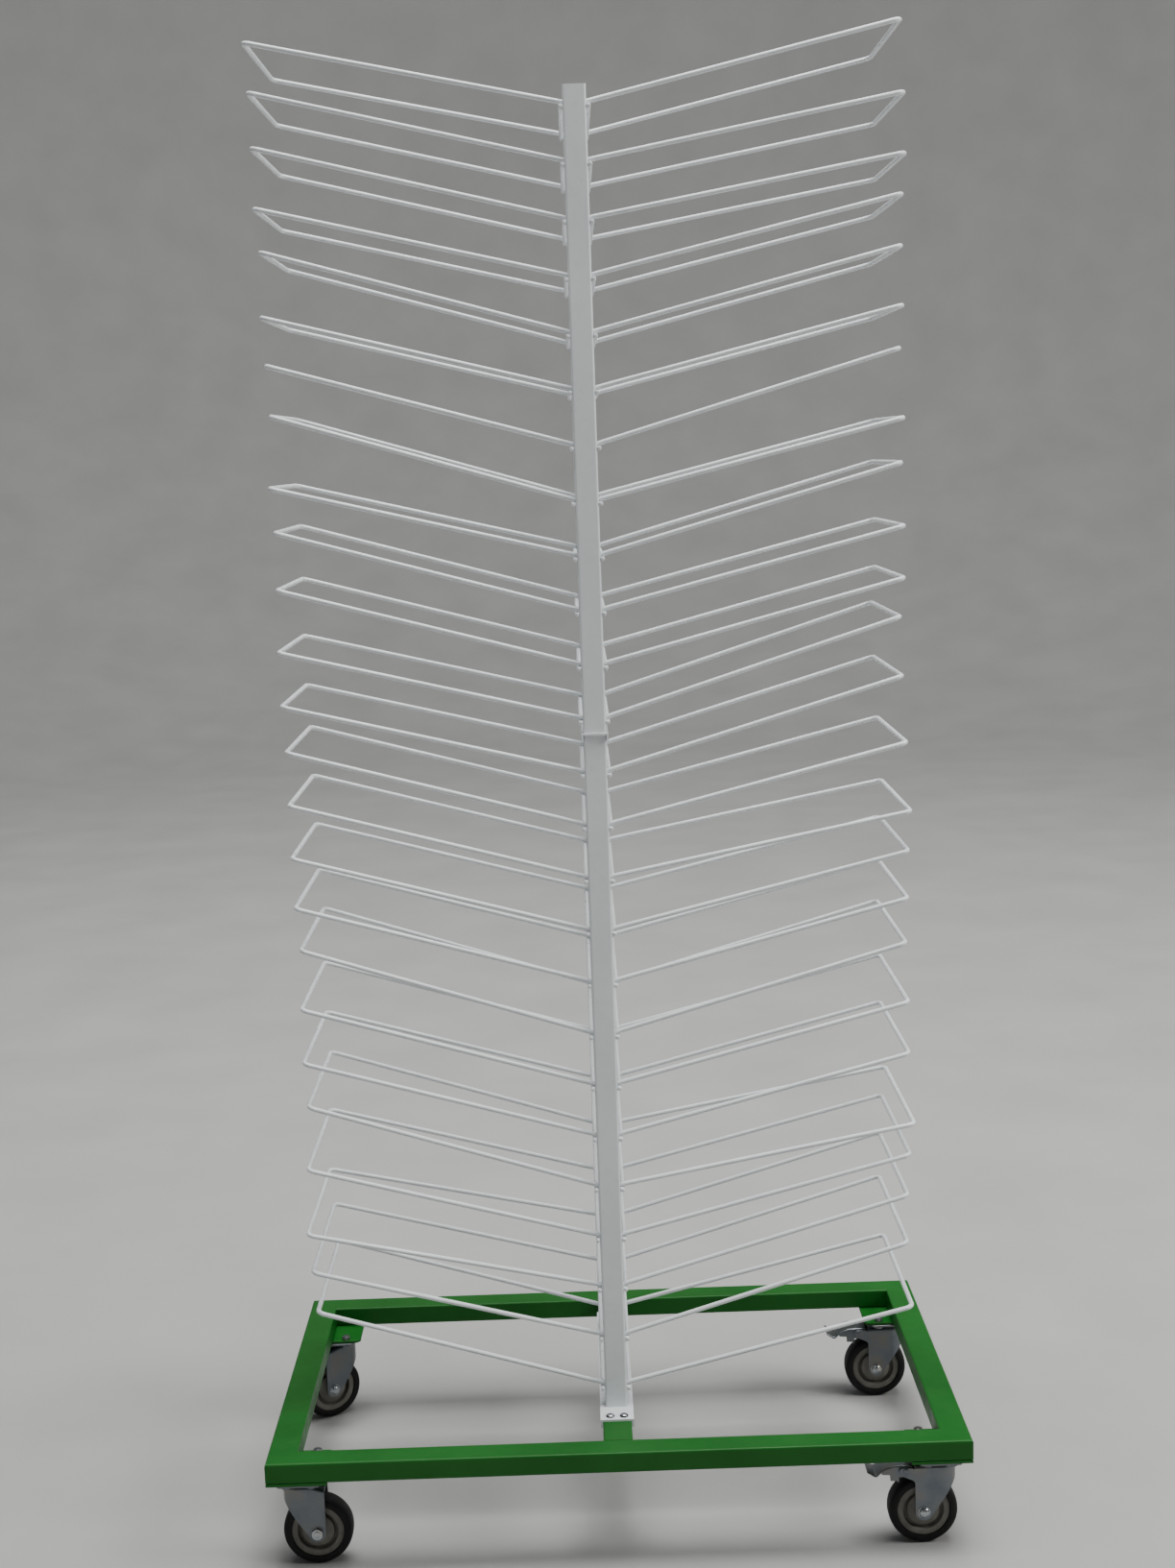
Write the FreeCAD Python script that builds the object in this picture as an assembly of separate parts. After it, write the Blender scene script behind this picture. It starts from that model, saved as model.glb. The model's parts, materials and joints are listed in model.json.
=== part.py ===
import FreeCAD, Part
import math
import os
from FreeCAD import Vector

# Mobile double-sided drying rack: a green base frame on four casters, two white
# ladders stacked on its middle, and 25 hinged wire shelves on each side.
# Millimetres. X runs left to right, Y front to back, Z up from the floor.

# Base frame
base_width = 1000.0
base_depth = 600.0
base_top = 173.0
base_tube_width = 42.0
base_tube_height = 30.0
tube_wall = 1.5
tube_corner = 3.0

# Corner plates and casters
corner_plate_margin_x = 12.0
corner_plate_margin_y = 2.0
corner_plate_sheet = 4.0
corner_plate_cut = 14.0
caster_side_inset = 15.0
caster_end_inset = 2.0
caster_plate_length = 60.0
caster_plate_depth = 106.0
caster_plate_sheet = 3.5
bolt_spacing_x = 36.0
bolt_spacing_y = 84.0
bolt_radius = 4.0
bolt_head_radius = 7.0
bolt_head_height = 4.5
nut_height = 6.0
raceway_radius = 31.0
raceway_height = 8.0
swivel_gap = 0.3
kingpin_radius = 6.0
kingpin_head_radius = 10.0
kingpin_head_height = 3.0
running_gap = 0.05
caster_trail = 20.0

# Forks and wheels
wheel_radius = 50.0
wheel_width = 32.0
tyre_thickness = 12.0
tyre_edge = 4.0
hub_rim_width = 28.0
hub_web_width = 18.0
hub_rim_depth = 10.0
hub_boss_radius = 10.0
fork_sheet = 3.0
fork_gap = 37.0
fork_bend = 4.0
fork_web_top = 108.0
fork_nose = 24.0
fork_nose_drop = 10.0
fork_end_radius = 11.0
crown_radius = 33.0
crown_neck_radius = 28.0
crown_shoulder = 4.0
axle_radius = 4.0
axle_head_radius = 6.5
axle_head_height = 4.5
side_gap = 0.3

# Brake pedals on the two right casters
pedal_pin_radius = 3.0
pedal_pin_x = 46.0
pedal_pin_z = 113.5
pedal_pin_end = 1.5
pedal_barrel_radius = 6.0
pedal_sheet = 2.5
pedal_width = 30.0
pedal_heel = 36.0
pedal_knee = 64.0
pedal_reach = 102.0
pedal_dip = 8.0
pedal_tip_rise = 11.0
shoe_inner = 54.0
shoe_bottom = 92.5
shoe_width = 24.0
cheek_reach = 60.0
cheek_bottom = 100.0
cheek_top = 121.0
cheek_corner = 5.0

# Ladders: posts, foot channel, joint channel
post_width = 32.0
post_depth = 20.0
post_wall = 1.5
post_corner = 3.0
post_spacing = 296.0
post_above_top_shelf = 26.0
channel_sheet = 3.0
channel_gap = 0.3
foot_channel_length = 400.0
foot_channel_leg = 9.0
foot_screw_inset = 12.0
foot_screw_spacing = 20.0
screw_head_radius = 6.5
screw_head_height = 3.5
screw_radius = 3.0
screw_length = 11.0
screw_gap = 0.2
joint_sheet = 2.5
joint_overhang = 4.0
joint_leg = 9.5
joint_below_shelf = 17.0
spigot_length = 24.0
spigot_gap = 0.3

# Wire shelves and the bars they rest on
shelf_levels = 25
upper_levels = 12
folding_levels = 16
first_hinge_above_base = 33.0
shelf_pitch = 76.0
wire_size = 6.0
wire_sides = 8
shelf_reach = 437.0
shelf_bend = 10.0
arm_stub = 11.0
arm_above_hinge = 3.75
arm_to_bar = 6.3
slot_width = 7.0
slot_height = 16.0

# How far each shelf tips up from level at rest, top shelf first, in degrees.
# On a used rack no two shelves hang quite alike, and each bar follows its shelf.
left_leans = [12.0, 13.5, 14.0, 13.5, 16.0, 14.5, 16.0, 17.0, 14.0, 16.0, 15.5, 14.0, 14.0,
              15.5, 15.5, 15.5, 16.0, 18.0, 16.5, 16.0, 17.5, 15.0, 12.0, 14.5, 16.5]
right_leans = [12.5, 10.0, 9.5, 12.5, 13.5, 13.0, 15.5, 13.0, 15.0, 13.5, 14.0, 17.0, 16.0,
               13.5, 10.5, 13.0, 14.0, 15.5, 14.0, 14.0, 10.0, 14.0, 16.0, 16.5, 13.5]

# Which way each caster trails, in degrees about the vertical from +X
caster_turns = {
    ("front", "left"): 0.0,
    ("front", "right"): 180.0,
    ("rear", "left"): 210.0,
    ("rear", "right"): 180.0,
}

# Worked-out places
tube_bottom = base_top - base_tube_height
plate_bottom = tube_bottom - corner_plate_sheet
caster_plate_bottom = plate_bottom - caster_plate_sheet
raceway_bottom = caster_plate_bottom - raceway_height
crown_top = raceway_bottom - swivel_gap
swivel_x = base_width / 2 - caster_side_inset - caster_plate_length / 2
swivel_y = base_depth / 2 - caster_end_inset - caster_plate_depth / 2
corner_plate_length = caster_side_inset + caster_plate_length + corner_plate_margin_x
corner_plate_depth = caster_end_inset + caster_plate_depth + corner_plate_margin_y
fork_width = fork_gap + 2 * fork_sheet
post_y = post_spacing / 2
ladder_foot = base_top + channel_sheet
hinge_x = post_width / 2 - post_wall / 2
bar_x = post_width / 2 + wire_size / 2
up = Vector(0, 0, 1)
middle = Vector(0, 0, 0)


def hinge_height(level):
    """Height of a shelf's hinge line, level 0 at the top."""
    return base_top + first_hinge_above_base + shelf_pitch * (shelf_levels - 1 - level)


joint_top = hinge_height(upper_levels - 1) - joint_below_shelf
lower_post_top = joint_top - joint_sheet
upper_post_top = hinge_height(0) + post_above_top_shelf


def block(x_low, x_high, y_low, y_high, z_low, z_high):
    corner = Vector(x_low, y_low, z_low)
    return Part.makeBox(x_high - x_low, y_high - y_low, z_high - z_low, corner)


def prism(points, travel):
    """Closed polygon pushed straight along travel."""
    outline = Part.makePolygon(points + [points[0]])
    return Part.Face(outline).extrude(travel)


def rounded_rectangle(width, depth, corner):
    """Flat face centred on the origin with its four corners rounded."""
    solid = block(-width / 2, width / 2, -depth / 2, depth / 2, 0, 1)
    upright = [edge for edge in solid.Edges if abs(edge.tangentAt(edge.FirstParameter).z) > 0.5]
    rounded = solid.makeFillet(corner, upright)
    return min(rounded.Faces, key=lambda face: face.CenterOfMass.z)


def tube(width, depth, wall, corner, length):
    """Rectangular tube standing on the origin."""
    outer = rounded_rectangle(width, depth, corner).extrude(up * length)
    inside_x = width / 2 - wall
    inside_y = depth / 2 - wall
    return outer.cut(block(-inside_x, inside_x, -inside_y, inside_y, 0, length))


def octagon(centre, size, normal, side):
    """Octagonal wire section, flat to flat size, in the plane across normal."""
    other = normal.cross(side)
    radius = size / 2 / math.cos(math.pi / wire_sides)
    points = []
    for index in range(wire_sides + 1):
        angle = 2 * math.pi * (index + 0.5) / wire_sides
        points.append(centre + side * (radius * math.cos(angle)) + other * (radius * math.sin(angle)))
    return Part.makePolygon(points)


def rod(size, start, travel):
    """Thin round stock drawn eight-sided, size from flat to flat."""
    along = Vector(travel).normalize()
    side = up if abs(along.z) < 0.5 else Vector(1, 0, 0)
    return Part.Face(octagon(start, size, along, side)).extrude(travel)


def turned(points, axis):
    """Solid of revolution from a half section given in the plane of axis and the first radius."""
    outline = Part.makePolygon(points + [points[0]])
    return Part.Face(outline).revolve(middle, axis, 360)


# Base


def mitred_rail(length, along_x):
    """Rail on the origin with both ends cut at 45 degrees, its outer face on the outer side."""
    rail = tube(base_tube_width, base_tube_height, tube_wall, tube_corner, length)
    rail.translate(Vector(0, 0, -length / 2))
    rail.rotate(middle, Vector(1, 0, 0), 90)
    if along_x:
        rail.rotate(middle, up, 90)
    return rail


def corner_cut(sign_x, sign_y, keep_x):
    """Wedge beyond the mitre line of one corner, removed from the rail on one side of it."""
    reach = base_tube_width * 2
    corner_x = sign_x * base_width / 2
    corner_y = sign_y * base_depth / 2
    outer = Vector(corner_x + sign_x * reach, corner_y + sign_y * reach, tube_bottom - reach)
    inner = Vector(corner_x - sign_x * reach, corner_y - sign_y * reach, tube_bottom - reach)
    if keep_x:
        third = Vector(outer.x, inner.y, outer.z)
    else:
        third = Vector(inner.x, outer.y, outer.z)
    return prism([outer, inner, third], up * (base_tube_height + 2 * reach))


def base_frame():
    middle_height = base_top - base_tube_height / 2
    rails = []
    for sign in (-1, 1):
        front_rail = mitred_rail(base_width, True)
        front_rail.translate(Vector(0, sign * (base_depth - base_tube_width) / 2, middle_height))
        side_rail = mitred_rail(base_depth, False)
        side_rail.translate(Vector(sign * (base_width - base_tube_width) / 2, 0, middle_height))
        for other in (-1, 1):
            front_rail = front_rail.cut(corner_cut(other, sign, True))
            side_rail = side_rail.cut(corner_cut(sign, other, False))
        rails += [front_rail, side_rail]
    cross_member = mitred_rail(base_depth - 2 * base_tube_width, False)
    cross_member.translate(Vector(0, 0, middle_height))
    return Part.makeCompound(rails + [cross_member.cut(screw_holes())])


def bolt_places(sign_x, sign_y):
    places = []
    for step_x in (-1, 1):
        for step_y in (-1, 1):
            x = sign_x * swivel_x + step_x * bolt_spacing_x / 2
            y = sign_y * swivel_y + step_y * bolt_spacing_y / 2
            places.append(Vector(x, y, 0))
    return places


def bolt_holes(sign_x, sign_y):
    """Pins through the corner plate and caster plate of one corner."""
    depth = corner_plate_sheet + caster_plate_sheet
    pins = []
    for place in bolt_places(sign_x, sign_y):
        foot = Vector(place.x, place.y, caster_plate_bottom)
        pins.append(rod(2 * (bolt_radius + screw_gap), foot, up * depth))
    return Part.makeCompound(pins)


def corner_plate(sign_x, sign_y):
    far_x = sign_x * base_width / 2
    far_y = sign_y * base_depth / 2
    near_x = far_x - sign_x * corner_plate_length
    near_y = far_y - sign_y * corner_plate_depth
    outline = [
        Vector(far_x, far_y, plate_bottom),
        Vector(far_x, near_y, plate_bottom),
        Vector(near_x + sign_x * corner_plate_cut, near_y, plate_bottom),
        Vector(near_x, near_y + sign_y * corner_plate_cut, plate_bottom),
        Vector(near_x, far_y, plate_bottom),
    ]
    return prism(outline, up * corner_plate_sheet).cut(bolt_holes(sign_x, sign_y))


def every_corner(make):
    return Part.makeCompound([make(x, y) for x in (-1, 1) for y in (-1, 1)])


# Casters


def caster_plate(sign_x, sign_y):
    """Top plate with the fixed half of the ball race and the kingpin the fork hangs on."""
    plate = block(-caster_plate_length / 2, caster_plate_length / 2, -caster_plate_depth / 2,
                  caster_plate_depth / 2, caster_plate_bottom, plate_bottom)
    head_top = fork_web_top - fork_sheet - swivel_gap
    head_bottom = head_top - kingpin_head_height
    race = turned([
        Vector(0, 0, caster_plate_bottom),
        Vector(0, 0, head_bottom),
        Vector(kingpin_radius, 0, head_bottom),
        Vector(kingpin_radius, 0, raceway_bottom),
        Vector(raceway_radius - crown_shoulder, 0, raceway_bottom),
        Vector(raceway_radius, 0, raceway_bottom + crown_shoulder),
        Vector(raceway_radius, 0, caster_plate_bottom),
    ], up)
    head = rod(2 * kingpin_head_radius, up * head_bottom, up * kingpin_head_height)
    whole = plate.multiFuse([race, head])
    whole.translate(Vector(sign_x * swivel_x, sign_y * swivel_y, 0))
    return whole.removeSplitter().cut(bolt_holes(sign_x, sign_y))


def caster_bolt(place, with_nut):
    """Hexagon bolt from below; the one inside the frame shows a nut above the corner plate."""
    foot = caster_plate_bottom - bolt_head_height
    head = hexagon(bolt_head_radius, bolt_head_height, foot)
    top = plate_bottom + corner_plate_sheet
    if with_nut:
        top += nut_height
    shank = rod(2 * bolt_radius, up * foot, up * (top - foot))
    bolt = head.fuse(shank)
    if with_nut:
        bolt = bolt.fuse(hexagon(bolt_head_radius, nut_height, top - nut_height))
    bolt.translate(place)
    return bolt


def hexagon(radius, height, bottom):
    points = []
    for index in range(6):
        angle = math.pi / 3 * index
        points.append(Vector(radius * math.cos(angle), radius * math.sin(angle), bottom))
    return prism(points, up * height)


def caster_bolts():
    bolts = []
    for sign_x in (-1, 1):
        for sign_y in (-1, 1):
            places = bolt_places(sign_x, sign_y)
            inner = min(places, key=lambda place: abs(place.x) + abs(place.y))
            bolts += [caster_bolt(place, place is inner) for place in places]
    return Part.makeCompound(bolts)


def fork_side_view():
    """Side outline of the fork: upright trailing edge, slanting nose, round lower end."""
    back = caster_trail + fork_end_radius
    shoulder = Vector(-fork_nose, 0, fork_web_top - fork_nose_drop)
    axle = Vector(caster_trail, 0, wheel_radius)
    # tangent from the shoulder to the round end
    gap = axle - shoulder
    slope = math.atan2(gap.z, gap.x)
    swing = math.acos(fork_end_radius / gap.Length)
    touch = axle + Vector(math.cos(slope + math.pi - swing), 0, math.sin(slope + math.pi - swing)) * fork_end_radius
    if touch.z > axle.z:
        touch = axle + Vector(math.cos(slope + math.pi + swing), 0, math.sin(slope + math.pi + swing)) * fork_end_radius
    bottom = axle - up * fork_end_radius
    corner_back = Vector(back, 0, axle.z)
    crown_back = Vector(back, 0, fork_web_top)
    crown_front = Vector(-fork_nose, 0, fork_web_top)
    round_end = Part.Arc(corner_back, bottom, touch).toShape()
    edges = [
        Part.makeLine(crown_front, crown_back),
        Part.makeLine(crown_back, corner_back),
        round_end,
        Part.makeLine(touch, shoulder),
        Part.makeLine(shoulder, crown_front),
    ]
    face = Part.Face(Part.Wire(edges))
    face.translate(Vector(0, -fork_width, 0))
    return face.extrude(Vector(0, 2 * fork_width, 0))


def fork_section(width, top, bend):
    """Upright block with its two long top corners rounded, as a bent sheet is."""
    length = 2 * (fork_nose + caster_trail + fork_end_radius)
    body = block(-length / 2, length / 2, -width / 2, width / 2, 0, top)
    ridge = [edge for edge in body.Edges
             if edge.CenterOfMass.z > top - bend / 2 and abs(edge.CenterOfMass.y) > width / 2 - bend / 2]
    return body.makeFillet(bend, ridge)


def fork():
    """Pressed fork: a bent channel over the wheel with a round crown on top of it."""
    outer = fork_section(fork_width, fork_web_top, fork_bend)
    inner = fork_section(fork_gap, fork_web_top - fork_sheet, fork_bend - fork_sheet)
    channel = outer.cut(inner).common(fork_side_view())
    crown = turned([
        Vector(kingpin_radius + running_gap, 0, fork_web_top - fork_sheet),
        Vector(fork_gap / 2, 0, fork_web_top - fork_sheet),
        Vector(crown_neck_radius, 0, fork_web_top),
        Vector(crown_radius, 0, crown_top - crown_shoulder),
        Vector(crown_radius, 0, crown_top),
        Vector(kingpin_radius + running_gap, 0, crown_top),
    ], up)
    bore = Part.makeCylinder(kingpin_radius + running_gap, crown_top)
    hole = across(2 * (axle_radius + side_gap), fork_width, caster_trail, wheel_radius)
    return channel.cut(bore).fuse(crown).removeSplitter().cut(hole)


def across(size, length, x, z):
    """Rod lying across the fork, centred on it."""
    return rod(size, Vector(x, -length / 2, z), Vector(0, length, 0))


def axle():
    """Axle bolt with a hexagon on each side of the fork."""
    half = fork_width / 2
    shank = Part.makeCylinder(axle_radius, fork_width, Vector(0, 0, -half))
    head = hexagon(axle_head_radius, axle_head_height, half)
    nut = hexagon(axle_head_radius, axle_head_height, -half - axle_head_height)
    bolt = shank.multiFuse([head, nut])
    bolt.rotate(middle, Vector(1, 0, 0), 90)
    bolt.translate(Vector(caster_trail, 0, wheel_radius))
    return bolt


def tyre():
    """Black tyre: a flat tread with its edges turned down."""
    half = wheel_width / 2
    rim = wheel_radius - tyre_thickness
    ring = turned([
        Vector(rim, -half, 0),
        Vector(wheel_radius - tyre_edge, -half, 0),
        Vector(wheel_radius, -half + tyre_edge, 0),
        Vector(wheel_radius, half - tyre_edge, 0),
        Vector(wheel_radius - tyre_edge, half, 0),
        Vector(rim, half, 0),
    ], Vector(0, 1, 0))
    ring.translate(Vector(caster_trail, 0, wheel_radius))
    return ring


def hub():
    """Moulded hub: thick rim, thinner web and a boss that runs against the fork legs."""
    rim = wheel_radius - tyre_thickness
    boss = fork_gap / 2 - side_gap
    half_section = [
        Vector(axle_radius + running_gap, boss, 0),
        Vector(hub_boss_radius, boss, 0),
        Vector(hub_boss_radius, hub_web_width / 2, 0),
        Vector(rim - hub_rim_depth, hub_web_width / 2, 0),
        Vector(rim - hub_rim_depth, hub_rim_width / 2, 0),
        Vector(rim, hub_rim_width / 2, 0),
    ]
    mirrored = [Vector(point.x, -point.y, 0) for point in reversed(half_section)]
    body = turned(half_section + mirrored, Vector(0, 1, 0))
    body.translate(Vector(caster_trail, 0, wheel_radius))
    return body


def place_caster(shape, row, side):
    """Turn a caster part made about the swivel axis and carry it to its corner."""
    sign_x = -1 if side == "left" else 1
    sign_y = -1 if row == "front" else 1
    shape.rotate(middle, up, caster_turns[(row, side)])
    shape.translate(Vector(sign_x * swivel_x, sign_y * swivel_y, 0))
    return shape


# Ladders


def channel(width, length, sheet, leg, top):
    """Upside-down channel sheet running front to back with its outer top at top."""
    outer = block(-width / 2, width / 2, -length / 2, length / 2, top - sheet - leg, top)
    inside = width / 2 - sheet
    inner = block(-inside, inside, -length / 2, length / 2, top - sheet - leg, top - sheet)
    return outer.cut(inner)


def screw_places():
    rows = foot_channel_length / 2 - foot_screw_inset
    return [Vector(x * foot_screw_spacing / 2, y * rows, 0) for x in (-1, 1) for y in (-1, 1)]


def screw_holes():
    pins = []
    for place in screw_places():
        foot = Vector(place.x, place.y, base_top - 2 * tube_wall)
        pins.append(rod(2 * (screw_radius + screw_gap), foot, up * (2 * tube_wall + channel_sheet)))
    return Part.makeCompound(pins)


def foot_channel():
    width = base_tube_width + 2 * (channel_gap + channel_sheet)
    body = channel(width, foot_channel_length, channel_sheet, foot_channel_leg, ladder_foot)
    return body.cut(screw_holes())


def foot_screw(place):
    """Dome-head screw through the foot channel into the cross member."""
    rim = octagon(up * ladder_foot, 2 * screw_head_radius, up, Vector(1, 0, 0))
    crest = octagon(up * (ladder_foot + screw_head_height), screw_head_radius, up, Vector(1, 0, 0))
    head = Part.makeLoft([rim, crest], True, True)
    shank = rod(2 * screw_radius, up * (ladder_foot - screw_length), up * screw_length)
    screw = head.fuse(shank)
    screw.translate(place)
    return screw


def foot_screws():
    return Part.makeCompound([foot_screw(place) for place in screw_places()])


def slots(levels):
    """One slot in each post for every arm, cut through the post's side walls."""
    cuts = []
    for level in levels:
        bottom = hinge_height(level)
        for side in (-1, 1):
            outside = side * (post_width / 2 + post_wall)
            inside = side * (post_width / 2 - 2 * post_wall)
            low, high = sorted((inside, outside))
            for row in (-1, 1):
                centre = row * post_y
                cuts.append(block(low, high, centre - slot_width / 2, centre + slot_width / 2,
                                  bottom, bottom + slot_height))
    return Part.makeCompound(cuts)


def posts(bottom, top, levels):
    """Front and rear post of one ladder."""
    pair = []
    for row in (-1, 1):
        post = tube(post_width, post_depth, post_wall, post_corner, top - bottom)
        post.translate(Vector(0, row * post_y, bottom))
        pair.append(post.cut(slots(levels)))
    return Part.makeCompound(pair)


def joint_channel():
    """Foot of the upper ladder, capping the lower posts."""
    width = post_width + 2 * (channel_gap + joint_sheet)
    length = post_spacing + post_depth + 2 * joint_overhang
    return channel(width, length, joint_sheet, joint_leg, joint_top)


def joint_spigots():
    """Short tubes under the joint channel that reach down into the lower posts."""
    inside_width = post_width - 2 * (post_wall + spigot_gap)
    inside_depth = post_depth - 2 * (post_wall + spigot_gap)
    pair = []
    for row in (-1, 1):
        spigot = tube(inside_width, inside_depth, post_wall, post_corner - post_wall + spigot_gap, spigot_length)
        spigot.translate(Vector(0, row * post_y, lower_post_top - spigot_length))
        pair.append(spigot)
    return Part.makeCompound(pair)


# Shelves


def rest_bar(side, level, lean):
    """Bar welded to both posts just under the arms of one shelf."""
    slope = math.radians(lean)
    out = bar_x - hinge_x
    height = hinge_height(level) + out * math.tan(slope) - (arm_to_bar - arm_above_hinge) / math.cos(slope)
    half = (post_spacing + post_depth) / 2
    return rod(wire_size, Vector(side * bar_x, -half, height), Vector(0, 2 * half, 0))


def rest_bars(levels):
    bars = []
    for level in levels:
        bars.append(rest_bar(-1, level, left_leans[level]))
        bars.append(rest_bar(1, level, right_leans[level]))
    return Part.makeCompound(bars)


def shelf(side, level, lean):
    """Bent wire shelf: two arms, a front bar and a short stub of each arm inside its post."""
    arm_y = post_y
    corners = [
        Vector(-arm_stub, -arm_y, 0),
        Vector(shelf_reach - shelf_bend, -arm_y, 0),
        Vector(shelf_reach, -arm_y + shelf_bend, 0),
        Vector(shelf_reach, arm_y - shelf_bend, 0),
        Vector(shelf_reach - shelf_bend, arm_y, 0),
        Vector(-arm_stub, arm_y, 0),
    ]
    path = Part.makePolygon(corners)
    section = octagon(corners[0], wire_size, Vector(1, 0, 0), Vector(0, 1, 0))
    wire = path.makePipeShell([section], True, False, 1)
    wire.translate(up * arm_above_hinge)
    wire.rotate(middle, Vector(0, -1, 0), lean)
    if side < 0:
        wire.rotate(middle, up, 180)
    wire.translate(Vector(side * hinge_x, 0, hinge_height(level)))
    return wire


def fixed_shelves(side, leans):
    levels = range(folding_levels, shelf_levels)
    return Part.makeCompound([shelf(side, level, leans[level]) for level in levels])


# Brakes


def brake_cheeks():
    """Two plates beside the fork's crown that carry the pedal's pin."""
    front = caster_trail
    outline = [
        (front, cheek_bottom),
        (cheek_reach - cheek_corner, cheek_bottom),
        (cheek_reach, cheek_bottom + cheek_corner),
        (cheek_reach, cheek_top - cheek_corner),
        (cheek_reach - cheek_corner, cheek_top),
        (front + cheek_corner, cheek_top),
        (front, cheek_top - cheek_corner),
    ]
    sides = []
    for start in (-fork_width / 2, fork_gap / 2):
        sides.append(prism([Vector(x, start, z) for x, z in outline], Vector(0, fork_sheet, 0)))
    return sides


def brake_fork():
    """Fork with the brake's cheeks on it."""
    hole = across(2 * (pedal_pin_radius + running_gap), fork_width, pedal_pin_x, pedal_pin_z)
    return fork().multiFuse(brake_cheeks()).removeSplitter().cut(hole)


def pedal_pin():
    length = fork_width + 2 * pedal_pin_end
    start = Vector(pedal_pin_x, -length / 2, pedal_pin_z)
    return Part.makeCylinder(pedal_pin_radius, length, start, Vector(0, 1, 0))


def brake_pedal():
    """Pressed pedal on a barrel: the strip dips and turns up at its tip, a tongue faces the tyre."""
    strip_top = pedal_pin_z + pedal_barrel_radius + pedal_sheet
    line = [
        (pedal_heel, strip_top),
        (pedal_knee, strip_top),
        (pedal_reach - 2 * pedal_dip, strip_top - pedal_dip),
        (pedal_reach - pedal_dip, strip_top - pedal_dip),
        (pedal_reach, strip_top - pedal_dip + pedal_tip_rise),
    ]
    upper = [Vector(x, -pedal_width / 2, z) for x, z in line]
    lower = [point - up * pedal_sheet for point in reversed(upper)]
    strip = prism(upper + lower, Vector(0, pedal_width, 0))
    tongue = block(shoe_inner, shoe_inner + pedal_sheet, -shoe_width / 2, shoe_width / 2,
                   shoe_bottom, strip_top - pedal_sheet / 2)
    length = fork_gap - 2 * side_gap
    start = Vector(pedal_pin_x, -length / 2, pedal_pin_z)
    barrel = Part.makeCylinder(pedal_barrel_radius, length, start, Vector(0, 1, 0))
    neck = block(pedal_pin_x - pedal_sheet, pedal_pin_x + pedal_sheet, -pedal_width / 2, pedal_width / 2,
                 pedal_pin_z, strip_top - pedal_sheet / 2)
    bore = Part.makeCylinder(pedal_pin_radius + running_gap, length, start, Vector(0, 1, 0))
    return strip.multiFuse([tongue, barrel, neck]).removeSplitter().cut(bore)


def save(name, shape):
    shape.exportStep("parts/" + name + ".step")


def main():
    os.makedirs("parts", exist_ok=True)
    upper = range(upper_levels)
    lower = range(upper_levels, shelf_levels)
    save("base_frame", base_frame())
    save("corner_plates", every_corner(corner_plate))
    save("foot_channel", foot_channel())
    save("foot_screws", foot_screws())
    save("lower_posts", posts(ladder_foot, lower_post_top, lower))
    save("upper_posts", posts(joint_top, upper_post_top, upper))
    save("joint_channel", joint_channel())
    save("joint_spigots", joint_spigots())
    save("lower_rest_bars", rest_bars(lower))
    save("upper_rest_bars", rest_bars(upper))
    save("caster_plates", every_corner(caster_plate))
    save("caster_bolts", caster_bolts())
    for row, side in caster_turns:
        name = row + "_" + side
        braked = side == "right"
        carried = [brake_fork(), axle(), pedal_pin()] if braked else [fork(), axle()]
        save(name + "_fork", place_caster(Part.makeCompound(carried), row, side))
        save(name + "_tyre", place_caster(tyre(), row, side))
        save(name + "_hub", place_caster(hub(), row, side))
        if braked:
            save(row + "_brake_pedal", place_caster(brake_pedal(), row, side))
    for side, sign, leans in (("left", -1, left_leans), ("right", 1, right_leans)):
        for level in range(folding_levels):
            save("%s_shelf_%02d" % (side, level + 1), shelf(sign, level, leans[level]))
        save(side + "_lower_shelves", fixed_shelves(sign, leans))


main()
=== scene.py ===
import bmesh
import bpy
import json
import math
import numpy as np
from mathutils import Matrix, Vector


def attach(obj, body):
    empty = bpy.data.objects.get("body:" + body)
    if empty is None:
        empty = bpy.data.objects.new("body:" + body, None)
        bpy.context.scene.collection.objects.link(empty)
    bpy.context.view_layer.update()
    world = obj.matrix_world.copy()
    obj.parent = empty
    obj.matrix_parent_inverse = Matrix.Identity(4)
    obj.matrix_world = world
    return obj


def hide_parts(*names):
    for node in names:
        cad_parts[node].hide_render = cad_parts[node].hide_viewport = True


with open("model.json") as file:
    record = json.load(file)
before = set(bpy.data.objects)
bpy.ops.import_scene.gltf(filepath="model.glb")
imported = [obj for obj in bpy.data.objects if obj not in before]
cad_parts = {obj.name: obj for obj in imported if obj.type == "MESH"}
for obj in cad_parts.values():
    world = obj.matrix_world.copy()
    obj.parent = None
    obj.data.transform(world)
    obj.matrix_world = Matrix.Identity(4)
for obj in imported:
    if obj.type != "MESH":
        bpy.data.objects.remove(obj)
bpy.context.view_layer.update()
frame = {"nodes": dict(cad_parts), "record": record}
print("rack frame loaded,", len(frame["nodes"]), "nodes")

mergeWithin = 0.000002  # points closer than this are one


def skin(rings, closedAlong=False, capped=True):
    # rings[i, j] is step j round ring i; every quad joins two steps of two neighbouring rings
    count, steps = rings.shape[:2]
    last = count if closedAlong else count - 1
    i, j = np.meshgrid(np.arange(last), np.arange(steps), indexing="ij")
    nextI, nextJ = (i + 1) % count, (j + 1) % steps
    quads = np.stack([i * steps + j, i * steps + nextJ, nextI * steps + nextJ, nextI * steps + j], -1)
    faces = quads.reshape(-1, 4).tolist()
    if capped and not closedAlong:
        faces.append(list(range(steps))[::-1])
        faces.append(list(range((count - 1) * steps, count * steps)))
    return rings.reshape(-1, 3), faces


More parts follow.
